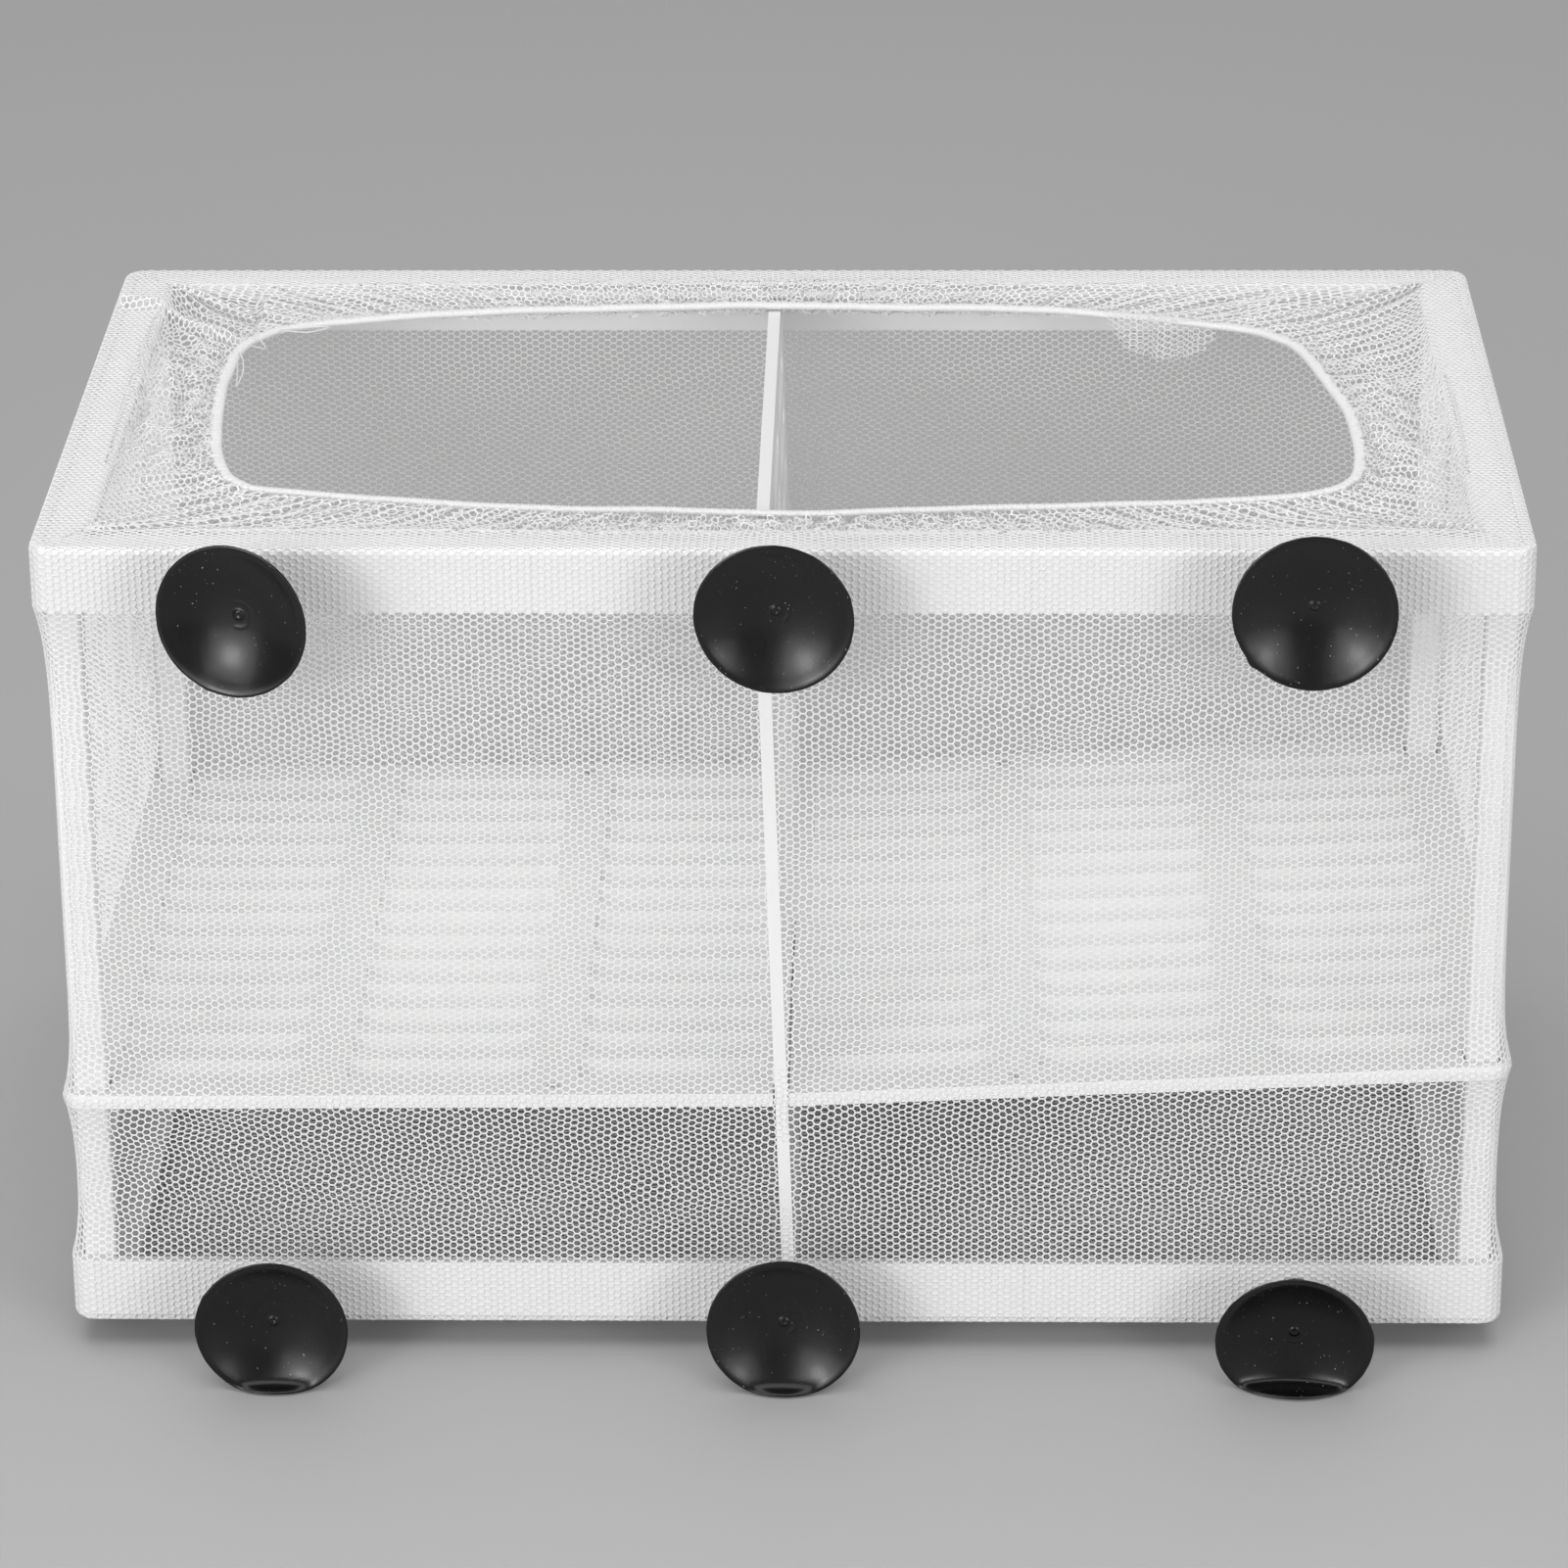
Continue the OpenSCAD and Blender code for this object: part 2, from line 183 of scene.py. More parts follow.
# ---- Floor board and divider -----------------------------------------------
# Flat boards of the same white plastic with rows of tapered slots, where young
# fish drop through. The divider stands halved into the floor board.
board_white = Finish("board_white", {"IOR": 1.46, "Subsurface Weight": 0.06, "Subsurface Scale": 0.0015})
sink = board_white.noise(14, 3, (1, 2.5, 1))
mould_grain = board_white.noise(1200, 1)
scuffs = board_white.noise(60, 6, (1, 9, 1))
board_white.feed("Base Color", board_white.blend(sink, grey(0.82, 0.002), grey(0.86)))
board_white.feed("Roughness", 0.36 + 0.12 * scuffs + 0.05 * mould_grain)
board_white.bump(sink + 0.15 * scuffs + 0.2 * mould_grain, 0.00015, 0.5)
dress(["floor_board", "divider_board"], board_white)


# ---- Bag of net ------------------------------------------------------------
# One sewn bag of white hexagon tulle, knitted from fine polyester thread. It
# is stretched over the frame, pinches in at the corners between the rings, and
# its top band is drawn in by the elastic around the hand opening.
MM = 0.001
BAG_W, BAG_D, BAG_H = 264.02, 149.62, 153.7
BAG_R, FOLD_R = 4.15, 1.0  # of its upright corners, and of its upper and lower edges
CELL, HOLE = 0.8, 0.655  # from a cell's middle to the middle of its threads, and to its hole's corners
SQUAT = 0.94  # a cell's height, as a share of an even hexagon's
THREAD_T = 0.18
ROW, COLUMN = SQUAT * CELL * math.sqrt(3) / 2, 3 * CELL
UNDER, BAND = 4.0, 34.0  # net tucked under the bag, and the top band's width before it is gathered
RING_TOP, RING_FOOT = 12.4, 141.7  # the lower ring's top edge and the upper ring's bottom edge
FLOOR_Z, RIGHT_RISE, LEFT_FALL = 46.0, 2.6, 0.4  # the floor board's middle, and its slopes in degrees


def outline(s, w, d, r):
    """Place and outward normal at a length s along a round rectangle, from the middle of its front."""
    straight_x, straight_y, arc = w - 2 * r, d - 2 * r, math.pi * r / 2
    total = 2 * (straight_x + straight_y) + 4 * arc
    s = np.mod(s + straight_x / 2, total)
    far_x, far_y = w / 2 - r, d / 2 - r
    corners = ((far_x, -far_y), (far_x, far_y), (-far_x, far_y), (-far_x, -far_y))
    lengths = (straight_x, straight_y, straight_x, straight_y)
    x, y, angle = np.zeros_like(s), np.zeros_like(s), np.zeros_like(s)
    start = 0.0
    for k, ((cx, cy), length) in enumerate(zip(corners, lengths, strict=True)):
        facing = (k - 1) * math.pi / 2
        on = (s >= start) & (s <= start + length)
        back = start + length - s[on]
        x[on] = cx + r * math.cos(facing) + back * math.sin(facing)
        y[on] = cy + r * math.sin(facing) - back * math.cos(facing)
        angle[on] = facing
        start += length
        on = (s > start) & (s < start + arc)
        angle[on] = facing + (s[on] - start) / r
        x[on] = cx + r * np.cos(angle[on])
        y[on] = cy + r * np.sin(angle[on])
        start += arc
    return x, y, np.cos(angle), np.sin(angle)


AROUND = 2 * (BAG_W + BAG_D) - 8 * BAG_R + 2 * math.pi * BAG_R
COLUMNS = round(AROUND / COLUMN)
WALL = BAG_H - 2 * FOLD_R
BOTTOM_FOLD = math.pi * FOLD_R / 2
TOP_EDGE = WALL + BOTTOM_FOLD

# Points of the hem around the hand opening, counter-clockwise from the middle of the front
hem_points = np.array([
    (0, -51.8), (20, -50.8), (42, -49.3), (58, -47.8), (73, -46.2), (86, -44.2), (95, -42.2),
    (100.5, -38.5), (103.4, -31.5), (104.4, -17), (103.8, -1), (101.4, 12.5), (97, 33), (93, 40),
    (86.5, 45.6), (70, 51.2), (51, 55.6), (25, 57.8), (-2, 58.6), (-29, 58), (-55, 55.9),
    (-78, 51.4), (-95.6, 46.2), (-101.4, 42), (-105.3, 33.5), (-106.3, 19), (-106.2, 5),
    (-104.4, -17.5), (-101.6, -31.5), (-98, -37.8), (-92.8, -41), (-71.5, -45.6), (-42, -49.3),
    (-20, -50.8)])


def closed_curve(points, count):
    """A smooth closed line through the points, with this many places at equal steps."""
    closed = np.vstack([points[-1:], points, points[:2]])
    t = np.linspace(0, 1, 24, endpoint=False)[:, None]
    fine = []
    for a, b, c, d in zip(closed[:-3], closed[1:-2], closed[2:-1], closed[3:], strict=True):
        bend, twist = 2 * a - 5 * b + 4 * c - d, 3 * b - a - 3 * c + d
        fine.append(0.5 * (2 * b + (c - a) * t + bend * t**2 + twist * t**3))
    fine = np.vstack(fine)
    fine = np.vstack([fine, fine[:1]])
    run = np.concatenate([[0], np.cumsum(np.linalg.norm(np.diff(fine, axis=0), axis=1))])
    at = np.linspace(0, run[-1], count, endpoint=False)
    return np.stack([np.interp(at, run, fine[:, k]) for k in range(fine.shape[1])], 1)


HEM_STEPS = 2400
hem_line = closed_curve(hem_points, HEM_STEPS)
HEM_Z = 151.6


def along_hem(share):
    """Place on the hem at a share of the way round."""
    at = np.mod(share, 1) * HEM_STEPS
    k = at.astype(int) % HEM_STEPS
    f = (at - np.floor(at))[:, None]
    return hem_line[k] * (1 - f) + hem_line[(k + 1) % HEM_STEPS] * f


GRID_COLUMNS, GRID_ROWS = round(AROUND), round(BAND)
GRID = (GRID_ROWS + 1, GRID_COLUMNS)
STEP_S, STEP_T = AROUND / GRID_COLUMNS, BAND / GRID_ROWS
FLANGE_X, FLANGE_Y = 122.0, 65.0  # the upper flange's inner edges
FLAT_ROWS = 9  # rows of the band that lie flat on the ring
LOWEST_BAND, HIGHEST_BAND = 146.0, 156.5
RELAX_STEPS, LOOSE_STEPS = 160, 110  # steps in which the band settles, and those in which it is still loose
SAG, LOOSE_SETTLE, FIRM_SETTLE = 0.01, 0.3, 0.06  # its fall in a step, and how far it settles on the ring
CRUSH = (0.26, 0.26, 0.18)  # how far its cells are jumbled near the hem
across_band = (np.arange(GRID_ROWS + 1) / GRID_ROWS)[:, None, None]


def smooth_noise(rows, columns, wide, seed):
    """Random heights that repeat round the bag, smoothed over this many grid steps."""
    made = np.random.default_rng(seed).normal(size=(rows, columns))
    across = np.fft.fft(made, axis=1)
    frequency = np.fft.fftfreq(columns)[None, :]
    made = np.real(np.fft.ifft(across * np.exp(-((frequency * wide * 2) ** 2)), axis=1))
    kernel = np.exp(-np.linspace(-2, 2, 7) ** 2)
    made = np.apply_along_axis(lambda line: np.convolve(line, kernel / kernel.sum(), "same"), 0, made)
    return made / made.std()


def relax(net, first, second, rest, stiff_out, stiff_in):
    """Draws each pair of points towards its rest distance, more firmly when it is stretched."""
    gap = net[second] - net[first]
    length = np.sqrt((gap * gap).sum(-1, keepdims=True)) + 1e-9
    pull = gap * ((length - rest) / length)
    pull *= np.where(length > rest, stiff_out, stiff_in) / 2
    net[first] += pull
    net[second] -= pull


def ruffled(outer, inner):
    """The band before it settles: a grid of places, ruffled between its two edges."""
    net = outer[None] * (1 - across_band) + inner[None] * across_band
    ruffle = 0.7 * smooth_noise(*GRID, 3.0, 41) + smooth_noise(*GRID, 18.0, 42)
    net[:, :, 2] += 0.6 * ruffle * np.sin(math.pi * across_band[:, :, 0])
    jog = np.stack([smooth_noise(*GRID, 2.0, seed) for seed in (43, 44)], -1)
    net[:, :, :2] += 0.25 * jog * np.sin(math.pi * across_band)
    return net


def laid_rows(outer):
    """The outermost rows, which lie flat on the ring's flange and are mitred at its corners."""
    depth = (np.arange(FLAT_ROWS) * STEP_T)[:, None]
    reach_x, reach_y = BAG_W / 2 - FOLD_R - depth, BAG_D / 2 - FOLD_R - depth
    x = np.clip(outer[None, :, 0], -reach_x, reach_x)
    y = np.clip(outer[None, :, 1], -reach_y, reach_y)
    return np.stack([x, y, BAG_H + 0.04 * smooth_noise(FLAT_ROWS, GRID_COLUMNS, 9.0, 48)], -1)


# How firmly the net draws in where it is stretched and pushes out where it is crowded: between
# neighbours, between every second place along the bag, and on the slant
NEAR, BENT, SLANTED = (0.9, 0.5), (0.0, 0.35), (0.1, 0.05)
LEAST_SPREAD = 1.7  # steps between every second place, below which a sharp pleat pushes out


def ties():
    """Pairs of grid places, each with its rest distance and its firmness."""
    every = np.arange(GRID_COLUMNS)
    made = []
    for first in range(2):
        along, after = every[first::2], (every[first::2] + 1) % GRID_COLUMNS
        made.append(((slice(None), along), (slice(None), after), STEP_S, *NEAR))
        made.append((slice(first, GRID_ROWS, 2), slice(first + 1, GRID_ROWS + 1, 2), STEP_T, *NEAR))
    for first in range(4):
        along, after = every[first::4], (every[first::4] + 2) % GRID_COLUMNS
        made.append(((slice(None), along), (slice(None), after), LEAST_SPREAD * STEP_S, *BENT))
    beside = (every + 1) % GRID_COLUMNS
    for outer, inner in ((every, beside), (beside, every)):
        made.append(((slice(0, -1), outer), (slice(1, None), inner), math.hypot(STEP_S, STEP_T), *SLANTED))
    return made


def gathered_band():
    """The settled band: its outer edge on the bag, its inner edge drawn in on the hem."""
    s = np.arange(GRID_COLUMNS) / GRID_COLUMNS * AROUND
    x, y, nx, ny = outline(s, BAG_W, BAG_D, BAG_R)
    outer = np.stack([x - FOLD_R * nx, y - FOLD_R * ny, np.full_like(x, BAG_H)], 1)
    hem = along_hem(s / AROUND)
    inner = np.column_stack([hem, np.full(len(hem), HEM_Z)])
    net, laid, tied = ruffled(outer, inner), laid_rows(outer), ties()
    height = net[:, :, 2]
    for step in range(RELAX_STEPS):
        for tie in tied:
            relax(net, *tie)
        height -= SAG
        over_ring = (np.abs(net[:, :, 0]) > FLANGE_X) | (np.abs(net[:, :, 1]) > FLANGE_Y)
        settled = LOOSE_SETTLE if step < LOOSE_STEPS else FIRM_SETTLE
        above = np.maximum(height[over_ring], BAG_H) - BAG_H
        height[over_ring] = BAG_H + above * (1 - settled)
        np.clip(height, LOWEST_BAND, HIGHEST_BAND, out=height)
        net[:FLAT_ROWS], net[-1] = laid, inner
        net[0] = outer
    return net


def crushed(net):
    """The band with the cells near the hem jumbled, where the elastic crowds them."""
    free = (np.abs(net[:, :, 0]) < FLANGE_X - 1) & (np.abs(net[:, :, 1]) < FLANGE_Y - 1)
    inwards = np.clip((across_band - 0.3) / 0.5, 0, 1) * np.clip((1 - across_band) / 0.06, 0, 1)
    jumble = np.stack([smooth_noise(*GRID, 0.9, seed) for seed in (45, 46, 47)], -1)
    return net + inwards * free[:, :, None] * jumble * np.array(CRUSH)


# The fold's crest as it is seen from above, and where cells are pulled open in front of it
CORNER_FOLD = np.array([(-131, 54), (-124, 52.5), (-118.5, 49.5), (-114.5, 46), (-110, 43), (-104, 41)])
FOLD_END, FOLD_FRONT, FOLD_H, FOLD_W, DIP = CORNER_FOLD[-1, 0], 28, 2.3, 1.3, 2.0
OPENED = {(-117.2, 40.6): 0.95, (-117.2, 29.5): 0.8, (-113.0, 34.5): 0.6}
OPENED_REACH = 3.2


def folded(net):
    """The band with a fold from the bag's end at the back left corner, and opened cells before it."""
    x, y, height = net[:, :, 0], net[:, :, 1], net[:, :, 2]
    behind = 0.85 * (y - np.interp(x, CORNER_FOLD[:, 0], CORNER_FOLD[:, 1]))
    here = (x < FOLD_END) & (y > FOLD_FRONT)
    height += here * FOLD_H * np.exp(-((behind / FOLD_W) ** 2)) * np.clip((FOLD_END - x) / 8, 0, 1)
    inside_ring = here & (x > -FLANGE_X) & (y < FLANGE_Y)
    past_edge = np.clip((FLANGE_X + x) / 4, 0, 1) * np.clip((FLANGE_Y - y) / 5, 0, 1)
    height -= inside_ring * DIP * np.clip((behind - 1.2) / 3, 0, 1) * past_edge
    for centre, opened in OPENED.items():
        apart = net[:, :, :2] - np.array(centre)
        how_far = np.linalg.norm(apart, axis=2, keepdims=True)
        net[:, :, :2] += opened * apart * np.exp(-((how_far / OPENED_REACH) ** 2))
    np.clip(height, LOWEST_BAND, HIGHEST_BAND, out=height)
    return net


band = folded(crushed(gathered_band()))


def on_band(s, t):
    """Place on the gathered band at s along the bag and t in from its top edge."""
    i = np.mod(s / AROUND, 1) * GRID_COLUMNS
    j = np.clip(t / BAND * GRID_ROWS, 0, GRID_ROWS - 1e-6)
    i0, j0 = i.astype(int), j.astype(int)
    fi, fj = (i - i0)[:, None], (j - j0)[:, None]
    i0, i1 = i0 % GRID_COLUMNS, (i0 + 1) % GRID_COLUMNS
    low = band[j0, i0] * (1 - fi) + band[j0, i1] * fi
    high = band[j0 + 1, i0] * (1 - fi) + band[j0 + 1, i1] * fi
    return low * (1 - fj) + high * fj


def waves(s, count, low, high, seed):
    """A sum of waves around the bag, between these numbers of waves, about 1 high."""
    draw = np.random.default_rng(seed)
    sum_ = np.zeros_like(s)
    for _ in range(count):
        n = draw.integers(low, high)
        sum_ += np.sin(2 * math.pi * n * s / AROUND + draw.uniform(0, 2 * math.pi)) * draw.uniform(0.5, 1)
    return sum_ / math.sqrt(count / 2)


def board_height(x):
    """Height of the floor board's edge, which rises to the right."""
    return FLOOR_Z + x * np.tan(np.radians(np.where(x > 0, RIGHT_RISE, LEFT_FALL)))


PINCH, PINCH_TO_CORNER, PINCH_FROM_LOW, PINCH_FROM_HIGH = 2.2, 26, 6, 7


def pinch(x, y, z):
    """How far the walls draw in between the rings and the floor board, most at the corners."""
    away = np.maximum(BAG_W / 2 - np.abs(x), BAG_D / 2 - np.abs(y))
    board = board_height(x)
    above = z > board
    span_low = np.where(above, z - board, z - RING_TOP)
    span_high = np.where(above, RING_FOOT - z, board - z)
    rise = 1 - np.exp(-np.maximum(span_low, 0) / PINCH_FROM_LOW)
    fall = 1 - np.exp(-np.maximum(span_high, 0) / PINCH_FROM_HIGH)
    return PINCH * (rise * fall) * (0.12 + 0.88 * np.exp(-away / PINCH_TO_CORNER))


def between_rings(z, fade):
    """1 between the two rings, fading to 0 at each."""
    return np.clip((z - RING_TOP) / fade, 0, 1) * np.clip((RING_FOOT - z) / fade, 0, 1)


DRIFT_S, DRIFT_T, RIPPLE = 0.3, 0.25, 0.12  # how far the cells stray along and up, and the walls inwards


def bag_place(s, t):
    """Place of the net at s along its outline and t up from its lower fold, in millimetres."""
    uneven = between_rings(t, 12)
    drift_s, drift_t = waves(s + 3 * t, 5, 12, 34, 13), waves(s - 2 * t, 5, 8, 30, 14)
    s, t = s + uneven * DRIFT_S * drift_s, t + uneven * DRIFT_T * drift_t
    x, y, nx, ny = outline(s, BAG_W, BAG_D, BAG_R)
    depth, z = np.zeros_like(s), np.zeros_like(s)
    under = t < -BOTTOM_FOLD
    depth[under] = FOLD_R - BOTTOM_FOLD - t[under]
    turn = (t >= -BOTTOM_FOLD) & (t < 0)
    angle = -t[turn] / FOLD_R
    depth[turn] = FOLD_R * (1 - np.cos(angle))
    z[turn] = FOLD_R * (1 - np.sin(angle))
    wall = (t >= 0) & (t < WALL)
    z[wall] = FOLD_R + t[wall]
    turn = (t >= WALL) & (t < TOP_EDGE)
    angle = (t[turn] - WALL) / FOLD_R
    depth[turn] = FOLD_R * (1 - np.cos(angle))
    z[turn] = BAG_H - FOLD_R + FOLD_R * np.sin(angle)
    depth[t >= TOP_EDGE] = FOLD_R
    z[t >= TOP_EDGE] = BAG_H
    free = (t > 0) & (t < WALL)
    depth[free] += pinch(x[free], y[free], z[free])
    ripple = waves(s, 8, 9, 40, 11) * np.sin(z / 11 + waves(s, 4, 3, 9, 12))
    gate = between_rings(z, 8) * np.clip(np.abs(z - board_height(x)) / 9, 0, 1)
    depth = depth + RIPPLE * (1 + ripple) * gate * free
    places = np.stack([x - depth * nx, y - depth * ny, z], 1)
    top = t >= TOP_EDGE
    if top.any():
        places[top] = on_band(s[top], t[top] - TOP_EDGE)
    return places


def faces_of_net(place, s, t, thickness):
    """Places on the net's outer and inner face."""
    step = 0.05
    along_s = place(s + step, t) - place(s - step, t)
    along_t = place(s, t + step) - place(s, t - step)
    normal = np.cross(along_s, along_t)
    normal /= np.maximum(np.linalg.norm(normal, axis=1), 1e-9)[:, None]
    base = place(s, t)
    return base + normal * (thickness / 2), base - normal * (thickness / 2)


BACK_SHARE = 0.55  # the net's inner face lies inside its holes on the map for baking, drawn in by this


def knit(columns, rows, start_t, pitch, place, closed):
    """The net's vertices and faces, cell by cell, and which cell each face belongs to."""
    i, j = np.meshgrid(np.arange(columns), np.arange(rows))
    i, j = i.ravel(), j.ravel()
    centre_s = pitch * (i + 0.5 * (j % 2))
    centre_t = start_t + ROW * j
    angle = np.arange(6) * math.pi / 3
    squeeze = pitch / COLUMN
    off_s, off_t = HOLE * np.cos(angle) * squeeze, SQUAT * HOLE * np.sin(angle)
    s = (centre_s[:, None] + off_s).ravel()
    t = (centre_t[:, None] + off_t).ravel()
    front, back = faces_of_net(place, s, t, THREAD_T)
    count = len(s)
    front_map = np.stack([s, t], 1)
    back_s, back_t = centre_s[:, None] + BACK_SHARE * off_s, centre_t[:, None] + BACK_SHARE * off_t
    back_map = np.stack([back_s.ravel(), back_t.ravel()], 1)

    def cell(di_even, di_odd, dj):
        ii, jj = i + np.where(j % 2 == 0, di_even, di_odd), j + dj
        good = (jj >= 0) & (jj < rows)
        if closed:
            ii = np.mod(ii, columns)
        else:
            good &= (ii >= 0) & (ii < columns)
        return np.where(good, jj * columns + ii, -1)

    here = np.arange(len(i))
    up_right, up, up_left, down_right = cell(0, 1, 1), cell(0, 0, 2), cell(-1, 0, 1), cell(0, 1, -1)
    quads, owners = [], []
    for k, other in ((0, up_right), (1, up), (2, up_left)):
        ok = other >= 0
        a, b = here[ok], other[ok]
        quads.append(np.stack([6 * a + k, 6 * b + (k + 4) % 6, 6 * b + (k + 3) % 6, 6 * a + k + 1], 1))
        owners.append(a)
    for k in range(6):
        top, nxt = 6 * here + k, 6 * here + (k + 1) % 6
        quads.append(np.stack([top, nxt, nxt + count, top + count], 1))
        owners.append(here)
    corners, corner_owners = [], []
    ok = (up_right >= 0) & (down_right >= 0)
    corners.append(np.stack([6 * here[ok], 6 * down_right[ok] + 2, 6 * up_right[ok] + 4], 1))
    corner_owners.append(here[ok])
    ok = (up_right >= 0) & (up >= 0)
    corners.append(np.stack([6 * up_right[ok] + 3, 6 * up[ok] + 5, 6 * here[ok] + 1], 1))
    corner_owners.append(here[ok])
    return {
        "points": np.vstack([front, back]),
        "map": np.vstack([front_map, back_map]),
        "quads": np.vstack(quads),
        "quad_cell": np.concatenate(owners),
        "corners": np.vstack(corners),
        "corner_cell": np.concatenate(corner_owners),
        "s": centre_s,
        "t": centre_t,
    }


net_white = Finish("net_white", {"Roughness": 0.55, "IOR": 1.5, "Sheen Weight": 0.1})
cloud = net_white.noise(40, 2)
lint = net_white.noise(700, 1)
net_white.feed("Base Color", net_white.blend(0.6 * cloud + 0.4 * lint, grey(0.91), grey(0.95)))
net_white.lets_light_through(0.15, grey(0.97))


def net_piece(name, node, net, keep):
    """One panel's piece from the cells that it keeps, in the place of its CAD node."""
    quads = net["quads"][keep[net["quad_cell"]]]
    corners = net["corners"][keep[net["corner_cell"]]]
    used = np.unique(np.concatenate([quads.ravel(), corners.ravel()]))
    index = np.full(len(net["points"]), -1)
    index[used] = np.arange(len(used))
    loops = np.concatenate([index[quads].ravel(), index[corners].ravel()]).astype(np.int32)
    sizes = np.concatenate([np.full(len(quads), 4), np.full(len(corners), 3)])
    starts = np.concatenate([[0], np.cumsum(sizes)[:-1]]).astype(np.int32)
    mesh = bpy.data.meshes.new(name)
    mesh.vertices.add(len(used))
    mesh.vertices.foreach_set("co", (net["points"][used] * MM).astype(np.float32).ravel())
    mesh.loops.add(len(loops))
    mesh.loops.foreach_set("vertex_index", loops)
    mesh.polygons.add(len(sizes))
    mesh.polygons.foreach_set("loop_start", starts)
    mesh.update(calc_edges=True)
    mesh.polygons.foreach_set("use_smooth", np.ones(len(sizes), bool))
    places = net["map"][used]
    low, extent = places.min(0), np.ptp(places, axis=0)
    layer = mesh.uv_layers.new(name="OFBake")
    places = 0.01 + 0.98 * (places - low) / extent
    layer.uv.foreach_set("vector", places[loops].astype(np.float32).ravel())
    mesh.materials.append(net_white.material)
    piece = bpy.data.objects.new(name, mesh)
    bpy.context.scene.collection.objects.link(piece)
    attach(piece, "frame")
    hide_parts(node)
    return piece


rows = int((UNDER + TOP_EDGE + BAND) / ROW) + 1
tube = knit(COLUMNS, rows, -UNDER, AROUND / COLUMNS, bag_place, True)
tube_x, tube_y, tube_nx, tube_ny = outline(tube["s"], BAG_W, BAG_D, BAG_R)
on_top = tube["t"] > TOP_EDGE
front_back = np.abs(tube_ny) > np.abs(tube_nx)
front = front_back & (tube_ny < 0) & ~on_top
back = front_back & (tube_ny > 0) & ~on_top
left = ~front_back & (tube_nx < 0) & ~on_top
right = ~front_back & (tube_nx > 0) & ~on_top

# Holes where the necks of the suction cups pass through the front panel
CUP_X, LOW_CUP_Z, HIGH_CUP_Z, NECK_HOLE_R = 93.7, 6.5, 147.6, 2.4
for cup_x in (-CUP_X, 0, CUP_X):
    for cup_z in (LOW_CUP_Z, HIGH_CUP_Z):
        front &= np.hypot(tube_x - cup_x, tube["t"] + FOLD_R - cup_z) > NECK_HOLE_R

# The panels as they were cut, in thirds of the bag's width and halves of its depth. Widths in millimetres
MIDDLE = BAG_W / 6
THIRD_W, MIDDLE_W, HALF_W, HALF_ROUND_W, WALL_H = 89, 88, 75, 415, 158
thirds = {
    "left": (tube_x < -MIDDLE, THIRD_W),
    "middle": (np.abs(tube_x) <= MIDDLE, MIDDLE_W),
    "right": (tube_x > MIDDLE, THIRD_W),
}
halves = {"front": (tube_y < 0, HALF_W), "back": (tube_y >= 0, HALF_W)}
for node, wall, shares in (
    ("net_front", front, thirds),
    ("net_back", back, thirds),
    ("net_left", left, halves),
    ("net_right", right, halves),
):
    for side, (here, width) in shares.items():
        piece = net_piece(f"{node}_{side}", node, tube, wall & here)
        width * MM
for side, here in (("left", tube_x < 0), ("right", tube_x >= 0)):
    piece = net_piece(f"net_top_{side}", "net_top", tube, on_top & here)


# ---- Floor panel of the bag ------------------------------------------------
# The same net in one flat panel, which hangs under the lower ring and is sewn to
# the walls all round.
def floor_place(s, t):
    """Place of the floor panel's net, which hangs flat under the lower ring."""
    x, y = s - BAG_W / 2, t
    z = 0.25 + 0.1 * np.sin(x / 17 + 1) * np.sin(y / 13)
    return np.stack([x, -y, z], 1)


floor_columns, floor_rows = round(BAG_W / COLUMN), int(BAG_D / ROW)
floor_net = knit(floor_columns, floor_rows, -BAG_D / 2 + ROW, COLUMN, floor_place, False)
floor_x, floor_y = floor_net["s"] - BAG_W / 2, -floor_net["t"]
inset_x = np.maximum(np.abs(floor_x) - (BAG_W / 2 - BAG_R), 0)
inset_y = np.maximum(np.abs(floor_y) - (BAG_D / 2 - BAG_R), 0)
SEAM_MARGIN = 1.2
inside = np.hypot(inset_x, inset_y) < BAG_R - SEAM_MARGIN
for side, here in (
    ("left", floor_x < -MIDDLE),
    ("middle", np.abs(floor_x) <= MIDDLE),
    ("right", floor_x > MIDDLE),
):
    piece = net_piece(f"net_floor_{side}", "net_floor", floor_net, inside & here)


# ---- Seam under the bag ----------------------------------------------------
# The floor panel's edge and the walls' edge, rolled together and sewn with an
# overlock stitch into a thin cord of net.
SEAM_STEPS, SEAM_SIDES, SEAM_R, SEAM_Z, STITCH = 4200, 8, 0.42, 0.42, 1.7
seam_s = np.arange(SEAM_STEPS) / SEAM_STEPS * AROUND
seam_x, seam_y, seam_nx, seam_ny = outline(seam_s, BAG_W, BAG_D, BAG_R)
stitch = 0.5 + 0.5 * np.cos(2 * math.pi * seam_s / (AROUND / round(AROUND / STITCH)))
lumps = waves(seam_s, 14, 60, 300, 21)
seam_r = SEAM_R * (0.78 + 0.22 * stitch + 0.1 * lumps)
seam_in = 0.62 + 0.05 * waves(seam_s, 9, 20, 90, 22)
seam_points = []
for k in range(SEAM_SIDES):
    angle = 2 * math.pi * k / SEAM_SIDES
    inwards = seam_in + seam_r * math.cos(angle)
    height = SEAM_Z + seam_r * math.sin(angle)
    seam_points.append(np.column_stack([seam_x - inwards * seam_nx, seam_y - inwards * seam_ny, height]))


